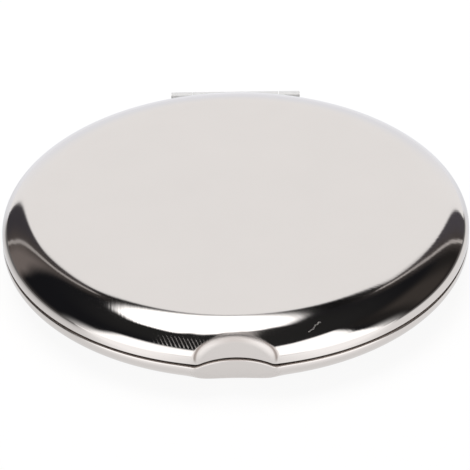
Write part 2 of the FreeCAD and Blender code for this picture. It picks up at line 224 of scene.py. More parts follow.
class PolishedSteel(Finish):
    """Stainless steel, pressed and buffed to a mirror.

    The eye sees the studio in it. Buffing leaves hairlines across the shoulder, which fray the edge between
    light and dark, and handling leaves faint smears. A line of painted shade runs along the lid's border of
    the scoop.
    """

    # Roughness of the buffed face, of the scoop, of the chatter lines and of the scratch.
    buffed_roughness = (0.045, 0.085)
    scoop_roughness = 0.31
    chatter_roughness = 0.37
    scratch_roughness = 0.5
    # Distances from the scoop's edge between which the polish turns to satin.
    satin_fade = (1.1 * MM, 0.5 * MM)
    # Smears: their size, the part of the noise that counts, and their share in the colour.
    smear_size = 9.0 * MM
    smear_span = (0.35, 0.75)
    smear_share = 0.04
    # Real hairlines are finer than 0.1 mm: they are drawn 0.3 mm apart, so that they show. Their skew is in
    # radians for each metre of radius, and they fade out between two distances from the rim.
    hairline_spacing = 0.3 * MM
    hairline_length = 4.0 * MM
    hairline_depth = 0.002 * MM
    hairline_skew = -22.0
    hairline_fade = (7.5 * MM, 5.0 * MM)
    # Real chatter lines are about 0.35 mm apart: they are drawn 0.45 mm apart, so that they show. The
    # patch fades in between two distances from its middle and from its height, and each line in its wave.
    chatter_spacing = 0.45 * MM
    chatter_way = Vector((0.88, 0.48, 0))
    chatter_place = Vector((-7.6 * MM, -32.6 * MM, SEAM_Z + 2.85 * MM))
    chatter_reach = (6.5 * MM, 1.5 * MM)
    chatter_band = (0.65 * MM, 0.3 * MM)
    chatter_wave = (-0.1, 1.0)
    # Ends and half width of the scratch, seen from above, the share of it that is fully rough, how far it
    # strays and the size of its crooks.
    scratch_start = Vector((10.4, -31.3, 0)) * MM
    scratch_end = Vector((12.1, -29.5, 0)) * MM
    scratch_width = 0.1 * MM
    scratch_core_share = 0.3
    scratch_stray = 0.35 * MM
    scratch_crook = 0.5 * MM
    # The painted shade line leaves the scoop's edge between two heights over the seam, from one distance to
    # another. It fades in between two distances from that line, two heights and two distances from X = 0.
    shade_line_heights = (0.4 * MM, 2.8 * MM)
    shade_line_offsets = (0.25 * MM, 0.6 * MM)
    shade_line_width = (0.17 * MM, 0.02 * MM)
    shade_line_foot = (0.3 * MM, 1.3 * MM)
    shade_line_aside = (3.0 * MM, 5.0 * MM)

    def __init__(self, colours, case):
        super().__init__("stainless_steel_mirror_buffed")
        self.colours = colours
        self.case = case
        self.x, y, self.z = self.add("SeparateXYZ", {0: self.place}).outputs
        self.flat = self.add("CombineXYZ", {0: self.x, 1: y})
        self.radius = self.vector("LENGTH", self.flat)
        axis = Vector((0, case.scoop_radius - case.scoop_depth + CASE_RADIUS, 0))
        self.from_axis = self.vector("LENGTH", self.vector("ADD", self.flat, axis))

    def hairlines(self):
        """Lines of the buffing wheel, which run in from the rim, askew."""
        skew = self.math("MULTIPLY", self.radius, self.hairline_skew)
        about_axis = {"rotation_type": "Z_AXIS"}
        turned = self.add("VectorRotate", {"Vector": self.flat, "Angle": skew}, about_axis)
        spoke = self.vector("NORMALIZE", turned)
        count = CASE_RADIUS / self.hairline_spacing
        spoke = self.add("VectorMath", {0: spoke, "Scale": count}, {"operation": "SCALE"})
        inward = self.math("DIVIDE", self.radius, self.hairline_length)
        grain_place = self.vector("ADD", spoke, self.add("CombineXYZ", {2: inward}))
        return self.noise(grain_place, 1.0, 3.0)

    def relief(self, grain):
        """The hairlines as bumps, which fade on the flat face."""
        shoulder = self.soft_ramp(self.radius, *[CASE_RADIUS - fade for fade in self.hairline_fade])
        height = self.math("MULTIPLY", grain, shoulder)
        return self.add("Bump", {"Strength": 1.0, "Distance": self.hairline_depth, "Height": height})

    def satin(self):
        """The buffing wheel doesn't reach into the scoop, which stays satin."""
        none, full = [self.case.scoop_radius + fade for fade in self.satin_fade]
        return self.soft_ramp(self.from_axis, none, full, 0.0, self.scoop_roughness)

    def chatter(self, grain):
        """The wheel chattered in a patch beside the scoop: duller lines there."""
        away = self.vector("DISTANCE", self.place, self.chatter_place)
        off_height = self.math("ABSOLUTE", self.math("SUBTRACT", self.z, self.chatter_place.z))
        way = self.chatter_way * (2 * math.pi / self.chatter_spacing)
        wave = self.math("ADD", self.vector("DOT_PRODUCT", self.place, way), grain)
        wave = self.math("SINE", wave)
        ramps = ((away, *self.chatter_reach), (off_height, *self.chatter_band), (wave, *self.chatter_wave))
        return self.all_of(ramps, self.chatter_roughness)

    def scratch(self):
        """One short scratch on the lid, a little crooked."""
        run = self.scratch_end - self.scratch_start
        along = run.normalized()
        across = Vector((-along.y, along.x, 0))
        from_start = self.vector("SUBTRACT", self.flat, self.scratch_start)
        share = self.vector("DOT_PRODUCT", from_start, along / run.length)
        aside = self.vector("DOT_PRODUCT", from_start, across)
        crook = self.noise(self.place, self.scratch_crook, 1.0)
        crook = self.ramp(crook, 0.0, 1.0, -self.scratch_stray, self.scratch_stray)
        aside = self.math("ABSOLUTE", self.math("ADD", aside, crook))
        core = self.scratch_core_share * self.scratch_width
        groove = self.ramp(aside, self.scratch_width, core, 0.0, self.scratch_roughness)
        off_middle = self.math("ABSOLUTE", self.math("SUBTRACT", share, 0.5))
        groove = self.math("MULTIPLY", groove, self.math("LESS_THAN", off_middle, 0.5))
        return self.math("MULTIPLY", groove, self.math("GREATER_THAN", self.z, SEAM_Z))

    def paste(self):
        """A line of painted shade along the lid's border of the scoop."""
        heights = [SEAM_Z + height for height in self.shade_line_heights]
        offsets = [self.case.scoop_radius + offset for offset in self.shade_line_offsets]
        line = self.soft_ramp(self.z, *heights, *offsets)
        off_line = self.math("ABSOLUTE", self.math("SUBTRACT", self.from_axis, line))
        foot = [SEAM_Z + height for height in self.shade_line_foot]
        aside = self.math("ABSOLUTE", self.x)
        ramps = ((off_line, *self.shade_line_width), (self.z, *foot), (aside, *self.shade_line_aside))
        return self.all_of(ramps, 1.0)

    def all_of(self, ramps, most):
        """The most it can be, times soft ramps that each go from 0 at one value to 1 at another."""
        product = most
        for ramp in ramps:
            product = self.math("MULTIPLY", product, self.soft_ramp(*ramp))
        return product

    def make(self):
        """The finished material."""
        grain = self.hairlines()
        smear = self.noise(self.place, self.smear_size, 4.0)
        gloss = self.ramp(smear, *self.smear_span, *self.buffed_roughness)
        for duller in (self.satin(), self.chatter(grain), self.scratch()):
            gloss = self.math("MAXIMUM", gloss, duller)
        tone = {"Fac": self.smear_share, "Color1": self.colours.steel, "Color2": smear}
        tone = self.add("MixRGB", tone, TINT)
        # Painted shade: a darker line along the lid's border of the scoop.
        tone = self.add("MixRGB", {"Fac": self.paste(), "Color1": tone, "Color2": self.colours.paste})
        bump = self.relief(grain)
        look = {"Base Color": tone, "Metallic": 1.0, "Roughness": gloss, "Normal": bump}
        return self.done("BsdfPrincipled", look)


def grained_metal(name, colour_value, grain_mm, roughness, depth_mm, metallic=1.0):
    """A metal whose surface has a fine grain: grain_mm is its size, or its sizes along X, Y and Z."""
    metal = Finish(name)
    scale = 1 / (np.broadcast_to(grain_mm, 3) * MM)
    grain = metal.noise(metal.add("Mapping", {"Vector": metal.place, "Scale": scale}), 1.0, 4.0)
    gloss = metal.ramp(grain, *NOISE_SPAN, *roughness)
    tone = metal.add("MixRGB", {"Fac": 0.12, "Color1": colour_value, "Color2": grain}, TINT)
    bump = metal.add("Bump", {"Strength": 0.3, "Distance": depth_mm * MM, "Height": grain})
    look = {"Base Color": tone, "Metallic": metallic, "Roughness": gloss, "Normal": bump}
    return metal.done("BsdfPrincipled", look)


def silvered_glass(colours):
    """Float glass with a silvered back: a clear mirror with a trace of green, and dust 0.4 mm apart."""
    glass = Finish("float_glass_silvered")
    dust = glass.noise(glass.place, 0.4 * MM, 2.0)
    gloss = glass.ramp(dust, 0.6, 0.8, 0.004, 0.05)
    look = {"Base Color": colours.silver, "Metallic": 1.0, "Roughness": gloss}
    return glass.done("BsdfPrincipled", look)


def dull_surface(name, colour_value, mottle_mm, roughness, depth_mm, share):
    """A surface that scatters light, with a mottle of the given size, depth and share in the colour."""
    skin = Finish(name)
    mottle = skin.noise(skin.place, mottle_mm * MM, 5.0)
    tone = skin.add("MixRGB", {"Fac": share, "Color1": colour_value, "Color2": mottle}, TINT)
    bump = skin.add("Bump", {"Strength": 0.5, "Distance": depth_mm * MM, "Height": mottle})
    return skin.done("BsdfPrincipled", {"Base Color": tone, "Roughness": roughness, "Normal": bump})


def clear_silicone(colours):
    """Silicone, moulded clear and soft: light goes in and comes out milky, with clouds of 0.5 mm."""
    rubber = Finish("silicone_moulded_clear")
    cloud = rubber.noise(rubber.place, 0.5 * MM, 2.0)
    gloss = rubber.ramp(cloud, *NOISE_SPAN, 0.22, 0.38)
    look = {"Base Color": colours.silicone, "Roughness": gloss, "IOR": 1.41, "Transmission Weight": 0.3}
    return rubber.done("BsdfPrincipled", look)


def new_piece(name, vertices, faces, materials, face_materials=None):
    """A smooth mesh object in the scene."""
    mesh = bpy.data.meshes.new(name)
    mesh.from_pydata(vertices, [], faces)
    for material in materials:
        mesh.materials.append(material)
    mesh.polygons.foreach_set("use_smooth", [True] * len(mesh.polygons))
    if face_materials is not None:
        mesh.polygons.foreach_set("material_index", face_materials)
    mesh.update()
    piece = bpy.data.objects.new(name, mesh)
    bpy.context.scene.collection.objects.link(piece)
    return piece


def dress(finishes):
    """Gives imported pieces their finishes, each known by the start of the pieces' names."""
    for node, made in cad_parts.items():
        for start, finish in finishes.items():
            if node.startswith(start):
                made.material_slots[0].material = finish


def smooth_step(value, low, high):
    """0 below low, 1 above high and a smooth rise between."""
    share = np.clip((value - low) / (high - low), 0, 1)
    return share * share * (3 - 2 * share)


class PressedHalf:
    """The outline of a case half in each upright plane through its axis.

    Heights are counted from the rim plane towards the flat face. Arrays have one row for each angle.
    """

    # Degrees between the planes: at the scoop, along the sides, at the window's edges and at the rear.
    plane_steps = (0.2, 0.9, 0.06, 0.7)
    # Steps along the dense outlines, and halvings in the search for the outer one.
    fine_steps = 200
    wall_steps = 12
    search_steps = 36
    # Steps along the finished outline: flat face, outside, rim, inner edge of the rim and inside.
    face_steps = 8
    outer_steps = 96
    rim_steps = 10
    inner_rim_steps = 3
    inner_steps = 26
    # How many steps the polish goes round the rim.
    polished_rim_steps = 3
    # How far the close planes and the soft corners reach on either side of the window's edges.
    window_reach = math.radians(0.8)
    window_corner = math.radians(0.3)
    # Shares of the scoop's half angle: how far the close planes reach, and where its raised border fades.
    close_share = 1.6
    lip_fade_shares = (0.5, 1.3)
    # Share of the height up to which the scoop's rounding grows, and of the sheet that the rim is rounded
    # on the inside.
    growth_share = 0.5
    inner_edge_share = 0.15

    def __init__(self, case, rim_round, lip_height):
        self.case = case
        self.rim_round = rim_round
        self.lip_height = lip_height
        self.face_radius = CASE_RADIUS - case.shoulder_width
        self.shoulder_height = HALF_HEIGHT - case.rim_band
        self.scoop_axis = CASE_RADIUS + case.scoop_radius - case.scoop_depth
        self.scoop_end = math.asin(case.scoop_radius / self.scoop_axis)
        half_width = HINGE_HIGH.x + case.window_clearance
        self.window_angle = math.asin(half_width / (CASE_RADIUS - case.sheet))
        self.window_height = HALF_HEIGHT - (HINGE_LOW.z - case.window_clearance)
        self.angles = self.spread_angles()

    def spread_angles(self):
        """Angles round the case, close together at the scoop and at the sides of the hinge window."""
        side = math.pi - self.window_angle
        close = self.close_share * self.scoop_end
        knots = (0.0, close, side - self.window_reach, side + self.window_reach, math.pi)
        half = []
        for start, end, step in zip(knots, knots[1:], self.plane_steps):
            count = math.ceil(math.degrees(end - start) / step)
            half.append(np.linspace(start, end, count, endpoint=False))
        half = np.concatenate(half)
        return np.concatenate([half, [math.pi], -half[:0:-1]])

    def wall_radius(self, inset):
        """Radius of the upright wall at each angle: the rim's, or the scoop's where that is less."""
        reach = (self.case.scoop_radius + inset) ** 2 - (self.scoop_axis * np.sin(self.angles)) ** 2
        ahead = np.cos(self.angles) > 0
        scoop = self.scoop_axis * np.cos(self.angles) - np.sqrt(np.maximum(reach, 0))
        rim = CASE_RADIUS - inset
        return np.minimum(rim, np.where(ahead & (reach > 0), scoop, 2 * rim))

    def shoulder_radius(self, height):
        """Radius of the plain shoulder and rim at a height."""
        share = np.clip((height - self.case.rim_band) / self.shoulder_height, 0, 1)
        return self.face_radius + self.case.shoulder_width * np.sqrt(1 - share * share)

    def outside_distance(self, radius, height):
        """How far a point lies outside the half, with the scoop's border rounded and raised."""
        case = self.case
        angles = self.angles[:, None]
        across = np.maximum(radius - self.face_radius, 0) / case.shoulder_width
        up = np.maximum(height - case.rim_band, 0) / self.shoulder_height
        steep = 2 * np.hypot(across / case.shoulder_width, up / self.shoulder_height)
        shoulder = (across * across + up * up - 1) / np.maximum(steep, 1e-9)
        from_axis = np.hypot(radius * np.sin(angles), self.scoop_axis - radius * np.cos(angles))
        scoop = case.scoop_radius - from_axis
        beside = 1 - np.clip(-scoop / case.lip_width, 0, 1)
        fade = [share * self.scoop_end for share in self.lip_fade_shares]
        ahead = 1 - smooth_step(np.abs(angles), *fade)
        shoulder = shoulder - self.lip_height * smooth_step(beside, 0, 1) * ahead
        upper = smooth_step(height, 0, self.growth_share * HALF_HEIGHT)
        bend = case.rim_corner + (case.scoop_round - case.rim_corner) * upper
        rounded = np.hypot(np.maximum(shoulder + bend, 0), np.maximum(scoop + bend, 0)) - bend
        return np.where(np.maximum(shoulder, scoop) < -bend, np.maximum(shoulder, scoop), rounded)

    def outside(self):
        """Dense outer outline at each angle: shoulder, scoop and rim band, down to the rim plane."""
        turn = np.linspace(0, math.pi / 2, self.fine_steps)
        band = np.linspace(self.case.rim_band, -self.case.rim_reach, self.wall_steps + 1)[1:]
        height = np.concatenate([self.case.rim_band + self.shoulder_height * np.cos(turn), band])
        height = np.broadcast_to(height, (len(self.angles), len(height)))
        low = np.full(height.shape, self.face_radius)
        high = self.shoulder_radius(height) + 2 * self.lip_height
        for _ in range(self.search_steps):
            middle = (low + high) / 2
            out = self.outside_distance(middle, height) > 0
            low = np.where(out, low, middle)
            high = np.where(out, middle, high)
        return low, height

    def inside(self):
        """Dense inner outline at each angle, from the flat face down to the rim plane."""
        sheet = self.case.sheet
        wall = self.wall_radius(sheet)
        width = self.case.shoulder_width - sheet
        last_turn = np.arcsin(np.clip((wall - self.face_radius) / width, 0, 1))
        turn = last_turn[:, None] * np.linspace(0, 1, self.fine_steps)
        radius = self.face_radius + width * np.sin(turn)
        height = self.case.rim_band + (self.shoulder_height - sheet) * np.cos(turn)
        down = np.linspace(0, 1, self.wall_steps + 1)[1:]
        wall_h = height[:, -1:] * (1 - down) - self.case.rim_reach * down
        wall_r = np.broadcast_to(radius[:, -1:], wall_h.shape)
        return np.concatenate([radius, wall_r], 1), np.concatenate([height, wall_h], 1)

    def rim_height(self):
        """Height of the rim at each angle: none, or up to the floor of the hinge window."""
        from_rear = math.pi - np.abs(self.angles)
        window = smooth_step(self.window_angle - from_rear, -self.window_corner, self.window_corner)
        return -self.case.rim_reach + (self.window_height + self.case.rim_reach) * window

    def cut(self, outline, end_height, count):
        """An outline cut where it comes down to a height, as that many evenly spaced points."""
        radius, height = outline
        steps = np.hypot(np.diff(radius, axis=1), np.diff(height, axis=1))
        along = np.concatenate([np.zeros((len(radius), 1)), np.cumsum(steps, 1)], 1)
        cut_r = np.empty((len(radius), count))
        cut_h = np.empty_like(cut_r)
        for i, (s, r, h) in enumerate(zip(along, radius, height)):
            end = np.interp(-end_height[i], -h, s)
            places = np.linspace(0, end, count)
            cut_r[i] = np.interp(places, s, r)
            cut_h[i] = np.interp(places, s, h)
        return cut_r, cut_h

    def rings(self):
        """Radius and height of the outline at each angle, from the middle outside to the middle inside."""
        rim = self.rim_height()
        edge = self.rim_round
        inner_edge = self.inner_edge_share * self.case.sheet
        out_r, out_h = self.cut(self.outside(), rim + edge, self.outer_steps)
        in_r, in_h = self.cut(self.inside(), rim + inner_edge, self.inner_steps)
        bend = np.linspace(0, math.pi / 2, self.rim_steps + 1)[1:]
        edge_r = out_r[:, -1:] - edge * (1 - np.cos(bend))
        edge_h = rim[:, None] + edge * (1 - np.sin(bend))
        bend = np.linspace(math.pi / 2, 0, self.inner_rim_steps + 1)[:-1]
        back_r = in_r[:, -1:] + inner_edge * (1 - np.cos(bend))
        back_h = rim[:, None] + inner_edge * (1 - np.sin(bend))
        face = self.face_radius * np.linspace(0, 1, self.face_steps + 1)[1:-1]
        face_r = np.broadcast_to(face, (len(rim), len(face)))
        face_h = np.full_like(face_r, HALF_HEIGHT)
        floor_h = np.full_like(face_r, HALF_HEIGHT - self.case.sheet)
        self.polished_rows = len(face) + self.outer_steps + self.polished_rim_steps
        radius = np.concatenate([face_r, out_r, edge_r, back_r, in_r[:, ::-1], face_r[:, ::-1]], 1)
        height = np.concatenate([face_h, out_h, edge_h, back_h, in_h[:, ::-1], floor_h], 1)
        return radius, height

    def solid(self):
        """Vertices, normals, faces and their finishes, with the rim plane at height 0."""
        radius, height = self.rings()
        sin, cos = np.sin(self.angles)[:, None], np.cos(self.angles)[:, None]
        points = np.stack([radius * sin, -radius * cos, height], -1)
        count, rows = radius.shape
        wrapped = np.concatenate([points[-2:], points, points[:2]])
        angles = np.unwrap(np.concatenate([self.angles[-2:], self.angles, self.angles[:2]]))
        round_case = np.gradient(wrapped, angles, axis=0)[2:-2]
        down = np.gradient(points, axis=1)
        normals = np.cross(down, round_case)
        normals /= np.maximum(np.linalg.norm(normals, axis=-1, keepdims=True), 1e-12)
        faces, finishes = [], []
        for i in range(count):
            here, there = i * rows, (i + 1) % count * rows
            faces += [(here + j, here + j + 1, there + j + 1, there + j) for j in range(rows - 1)]
            finishes += [int(j >= self.polished_rows) for j in range(rows - 1)]
        top, bottom = count * rows, count * rows + 1
        for i in range(count):
            here, there = i * rows, (i + 1) % count * rows
            faces.append((top, here, there))
            faces.append((bottom, there + rows - 1, here + rows - 1))
            finishes += [0, 1]
        middles = [(0, 0, HALF_HEIGHT), (0, 0, HALF_HEIGHT - self.case.sheet)]
        vertices = np.concatenate([points.reshape(-1, 3), middles])
        normals = np.concatenate([normals.reshape(-1, 3), [(0, 0, 1), (0, 0, -1)]])
        return vertices, normals, faces, finishes


def turned_piece(name, outline, segments, materials, spans):
    """A turned piece: outline is radius and height, from axis to axis or once round a ring's section.

    spans gives the material of each step of the outline.
    """
    angles = np.linspace(0, 2 * math.pi, segments, endpoint=False)
    solid = int(outline[0][0] == 0)
    section = outline[1:-1] if solid else outline
    rows = len(section)
    vertices = [(r * math.sin(a), -r * math.cos(a), z) for a in angles for r, z in section]
    faces, kinds = [], []
    for i in range(segments):
        here, there = i * rows, (i + 1) % segments * rows
        for j in range(rows - solid):
            after = (j + 1) % rows
            faces.append((here + j, there + j, there + after, here + after))
            kinds.append(spans[j + solid])
        if solid:
            faces.append((segments * rows, there, here))
            faces.append((segments * rows + 1, here + rows - 1, there + rows - 1))
            kinds += [spans[0], spans[-1]]
    if solid:
        vertices += [(0, 0, outline[0][1]), (0, 0, outline[-1][1])]
    piece = new_piece(name, vertices, faces, materials, kinds)
    piece.data.set_sharp_from_angle(angle=math.radians(25))
    return piece


class COMPACT_OT_case_halves(bpy.types.Operator):
    """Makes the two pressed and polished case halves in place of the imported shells"""

    bl_idname = "compact.case_halves"
    bl_label = "Case halves"

    def execute(self, context):
        colours = context.scene.compact_colours
        case = context.scene.compact_case
        steel = PolishedSteel(colours, case).make()
        # Where the sheet was sheared off and ground: satin, so the seam shows a soft line of it.
        cut_edge = grained_metal("stainless_steel_sheared_edge", colours.cut_edge, 0.06, (0.4, 0.55), 0.003)
        base_half = PressedHalf(case, case.base_rim_round, case.base_lip_height)
        lid_half = PressedHalf(case, case.lid_rim_round, case.lid_lip_height)
        for name, node, body, half, rim_z, way in (
            ("base_case", "base_shell", "base", base_half, BASE_RIM_Z, -1),
            ("lid_case", "lid_shell", "lid", lid_half, LID_RIM_Z, 1),
        ):
            vertices, normals, faces, finishes = half.solid()
            placed = vertices * (1, 1, way) + (0, 0, rim_z)
            turned = faces if way > 0 else [face[::-1] for face in faces]
            piece = new_piece(name, placed.tolist(), turned, [steel, cut_edge], finishes)
            piece.data.normals_split_custom_set_from_vertices((normals * (1, 1, way)).tolist())
            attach(piece, body)
            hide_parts(node)
        return {"FINISHED"}


class COMPACT_OT_frames(bpy.types.Operator):
    """Gives the moulded frames their satin chrome"""

    bl_idname = "compact.frames"
    bl_label = "Frames"

    def execute(self, context):
        plating = context.scene.compact_colours.plating
        # ABS, moulded against a spark eroded tool and chrome plated: satin, with a grain of 0.12 mm.
        satin = grained_metal("abs_moulded_satin_chrome", plating, 0.12, (0.24, 0.36), 0.01)
        dress({"base_frame": satin, "lid_frame": satin})
        return {"FINISHED"}


class COMPACT_OT_mirrors(bpy.types.Operator):
    """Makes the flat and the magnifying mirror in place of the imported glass"""

    bl_idname = "compact.mirrors"
    bl_label = "Mirrors"
    segments = 240
    points_across = 25

    def execute(self, context):
        colours = context.scene.compact_colours
        sizes = context.scene.compact_mirrors
        silver = silvered_glass(colours)
        # Glass ground at its edge: dull, with the green of float glass.
        ground = dull_surface("float_glass_ground", colours.glass_edge, 0.1, 0.35, 0.01, 0.2)
        # Paint rolled over the silver: a dull grey skin.
        paint = dull_surface("mirror_backing_paint_rolled", colours.backing, 0.8, 0.6, 0.02, 0.25)
        for name, node, body, way, sag in (
            ("base_mirror_glass", "base_mirror", "base", 1, sizes.sag),
            ("lid_mirror_glass", "lid_mirror", "lid", -1, 0.0),
        ):
            low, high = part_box(node)
            radius = high.x
            face, back = (high.z, low.z + sag) if way > 0 else (low.z, high.z)
            bevel = sizes.chamfer
            radii = np.linspace(0, 1, self.points_across) * (radius - bevel)
            dips = way * sag * (1 - (radii / radius) ** 2)
            dish = list(zip(radii, face - dips))
            under = list(zip(radii, back - dips))
            edge = [(radius, face - way * bevel), (radius, back + way * bevel)]
            outline = dish + edge + under[::-1]
            spans = [0] * (len(dish) - 1) + [1] * 3 + [2] * (len(under) - 1)
            if way < 0:
                outline, spans = outline[::-1], spans[::-1]
            piece = turned_piece(name, outline, self.segments, [silver, ground, paint], spans)
            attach(piece, body)
            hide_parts(node)
        return {"FINISHED"}


class COMPACT_OT_pads(bpy.types.Operator):
    """Makes the foam pads that press the mirrors against their frames"""

    bl_idname = "compact.pads"
    bl_label = "Foam pads"
    segments = 160
    points_across = 9
    edge_points = 6

    def execute(self, context):
        colours = context.scene.compact_colours
        sizes = context.scene.compact_mirrors
        # Polyethylene foam, cut from sheet: white cells about 0.5 mm across.
        foam = dull_surface("polyethylene_foam_cut", colours.foam, 0.5, 0.9, 0.08, 0.35)
        low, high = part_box("base_mirror_pad")
        glass_low, glass_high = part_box("base_mirror")
        inner = high.x - sizes.ring_width
        radii = np.linspace(inner, high.x, self.points_across)
        tops = glass_low.z + sizes.sag * (radii / glass_high.x) ** 2 - sizes.foam_gap
        outline = self.soft_side(high.x, low.z, tops[-1], sizes.foam_round)[::-1]
        outline += [(2 * inner - r, z) for r, z in self.soft_side(inner, low.z, tops[0], sizes.foam_round)]
        outline += list(zip(radii[1:-1], tops[1:-1]))
        ring = turned_piece("base_pad", outline, self.segments, [foam], [0] * len(outline))
        self.declare(ring, "base_mirror_pad", "base")
        low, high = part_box("lid_mirror_pad")
        side = self.soft_side(high.x, low.z, high.z, sizes.foam_round)[::-1]
        outline = [(0, high.z), *side, (0, low.z)]
        disc = turned_piece("lid_pad", outline, self.segments, [foam], [0] * (len(outline) - 1))
        self.declare(disc, "lid_mirror_pad", "lid")
        return {"FINISHED"}

    def soft_side(self, radius, low, high, edge):
        """Radius and height up the outer side of a pad with soft edges."""
        bend = np.linspace(0, math.pi / 2, self.edge_points)
        lower = [(radius - edge * (1 - math.sin(b)), low + edge * (1 - math.cos(b))) for b in bend]
        return lower + [(r, low + high - z) for r, z in lower[::-1]]

    def declare(self, piece, node, body):
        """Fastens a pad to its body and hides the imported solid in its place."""
        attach(piece, body)
        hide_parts(node)


class COMPACT_OT_hinge(bpy.types.Operator):
    """Gives the hinge's leaves, pin and rivets their metals"""

    bl_idname = "compact.hinge"
    bl_label = "Hinge"

    def execute(self, context):
        colours = context.scene.compact_colours
        # Steel strip, rolled, tumbled and dull nickel plated: fine lines along the strip, and a skin that
        # scatters much of the light.
        strip = grained_metal(
            "steel_strip_dull_nickel", colours.strip, (2.5, 0.1, 0.1), (0.34, 0.46), 0.004, metallic=0.5
        )
        # Steel wire, drawn: lines along the wire, brighter than the strip.
        wire = grained_metal("steel_wire_drawn", colours.wire, (3.0, 0.08, 0.08), (0.2, 0.3), 0.004)
        # Rivets, nickel plated in a barrel: bright, warm and faintly pitted.
        nickel = grained_metal("steel_rivet_nickel_plated", colours.nickel, 0.2, (0.12, 0.26), 0.005)
        dress({"hinge_pin": wire})
        for half in ("base_hinge", "lid_hinge"):
            dress({half + "_leaf": strip, half + "_rivets": nickel})
        return {"FINISHED"}


class COMPACT_OT_catch(bpy.types.Operator):
    """Gives the magnets, catch plates and bumpers their finishes"""

    bl_idname = "compact.catch"
    bl_label = "Catch and bumpers"

    def execute(self, context):
        colours = context.scene.compact_colours
        # Magnets, nickel plated: a warm bright skin with the grain of the pressed powder under it.
        nickel = grained_metal("magnet_nickel_plated", colours.nickel, 0.15, (0.08, 0.2), 0.004)
        # Steel discs, punched and zinc plated: bluish, with a faint spangle.
        zinc = grained_metal("steel_disc_zinc_plated", colours.zinc, 0.4, (0.2, 0.34), 0.004)
        dress({"catch_magnet": nickel, "catch_plate": zinc, "bumper": clear_silicone(colours)})
        return {"FINISHED"}


# The drapes' edges beside the backdrop, as azimuth from the front towards +X and elevation, in degrees.
LEFT_EDGE = ((-133.3, 7), (-136, 18.5), (-142.4, 28.6), (-149.3, 37), (-156, 43.6))
RIGHT_EDGE = ((131.3, 9), (133.7, 19.2), (140.7, 31.9), (147.2, 40.2))
# What the polished steel sees above the floor, from back to front: the radiance, its colour, how many
# degrees soft its edges are, and its corners as azimuth and elevation.
BACK_CARDS = {
    "ceiling": (0.02, "#ffffff", 30, ((0, 52), (60, 52), (120, 52), (180, 52), (-120, 52), (-60, 52))),
    "left_haze": (0.045, "#fff6f2", 16, ((-125, -10), (-60, -10), (-60, 6), (-125, 6))),
    "right_curtain": (0.02, "#fff6f2", 16, ((66, -8), (138, -8), (138, 36), (76, 60))),
    "right_fold": (0.05, "#fff0e6", 14, ((88, 10), (116, 8), (124, 46), (98, 52))),
    "right_haze": (0.2, "#fff6f2", 9, ((70, -10), (138, -10), (138, 0.5), (70, 0.5))),
    "left_curtain": (0.185, "#fff0ea", 8, (
        (-113, -8), (-119, 24), (-146, 43.5), (-156, 44.5), (-156, 20), (-146, -8),
    )),
    "left_drape": (0.055, "#f8f0ff", 2, (
        (-133.2, -8), *LEFT_EDGE, (-162.6, 47), (-169, 45.5), (180, 20), (-165, -8),
    )),
    "right_drape": (0.08, "#f8f0ff", 2, (
        (131, -8), *RIGHT_EDGE, (161, 49), (169, 45), (180, 20), (165, -8),
    )),
    "backdrop": (1.0, "#ffffff", 2, (
        (142, -20), (-146, -20), (-146, 2), (-158.5, 38.5),
        (-167, 45), (162, 46.5), (154.5, 37.5), (142, 2.5),
    )),
    "left_drape_fold": (0.055, "#f8f0ff", 2, (
        (-140, -8), (-145, -1), (-150, 10), (-154, 21), (-158.3, 38), (-150, 36), (-138, 10),
    )),
    "right_drape_fold": (0.08, "#f8f0ff", 2, (
        (136, -8), (141, 0), (146, 11.5), (150, 22), (154.3, 37), (148, 36), (136, 10),
    )),
    "backdrop_foot": (1.0, "#f6f9ff", 20, ((154, -20), (-154, -20), (-160, 14), (160, 14))),
    "softbox_hood": (0.01, "#ffffff", 2, ((180, 40), (148, 49), (-148, 49))),
}
# Thin stands in front of the drapes: the radiance, its colour, softness and width in degrees, and bends.
STANDS = {
    "left_sheen": (0.08, "#fff0ea", 8, 7, (
        (-133.3, -4), (-133.5, 9), (-142.4, 28.6), (-156, 43.6), (-162.6, 47.5),
    )),
    "right_sheen": (0.07, "#fff0ea", 8, 7, ((131, -4), (131, 9), (140.7, 31.9), (154, 44.6), (161, 49))),
    "left_stand": (0.42, "#fffaf7", 1, 1.7, ((-133.2, -4), *LEFT_EDGE, (-162.6, 47.5))),
    "right_stand": (0.52, "#fffaf7", 1, 1.6, ((131, -4), *RIGHT_EDGE, (154, 44.6), (161, 49))),
}
FRONT_CARDS = {
    "top_middle": (0.45, "#fffaf8", 4, ((-6, 55), (6, 55), (168.8, 72), (-168.8, 72))),
    "softbox": (1.8, "#ffffff", 3, (
        (180, 41), (175.5, 48), (168, 58), (164, 67),
        (-119, 76), (-130, 66), (-147, 58), (-167.5, 49),
    )),
    "front_low": (0.6, "#fffaf8", 4, ((-27, -12), (27, -12), (27, 8), (-27, 8))),
    "front_middle": (0.85, "#fffaf8", 6, ((-20, -12), (20, -12), (20, 62), (-20, 62))),
    "front_glow_left": (1.3, "#ffffff", 30, ((-73, -12), (-24, -12), (-24, 17), (-73, 17))),
    "front_glow_right": (1.3, "#ffffff", 30, ((24, -12), (70, -12), (70, 22), (24, 22))),
    "front_card_left": (1.5, "#ffffff", 9, ((-66, -4), (-17, 7), (-12, 38), (-63, 42))),
    "front_card_right": (1.5, "#ffffff", 6, ((17, 7), (68, -3), (65, 28), (60, 44), (20, 50))),
    "front_card_wing": (1.5, "#ffffff", 4, ((24, 45), (24, 53.5), (74, 61.8), (62, 41))),
}
DARK_ROOM = (0.0095, 0.0097, 0.0115, 1.0)


def direction(azimuth, elevation):
    """Unit vector for an azimuth from the front towards +X and an elevation, in degrees."""
    a, e = math.radians(azimuth), math.radians(elevation)
    return Vector((math.sin(a) * math.cos(e), -math.cos(a) * math.cos(e), math.sin(e)))


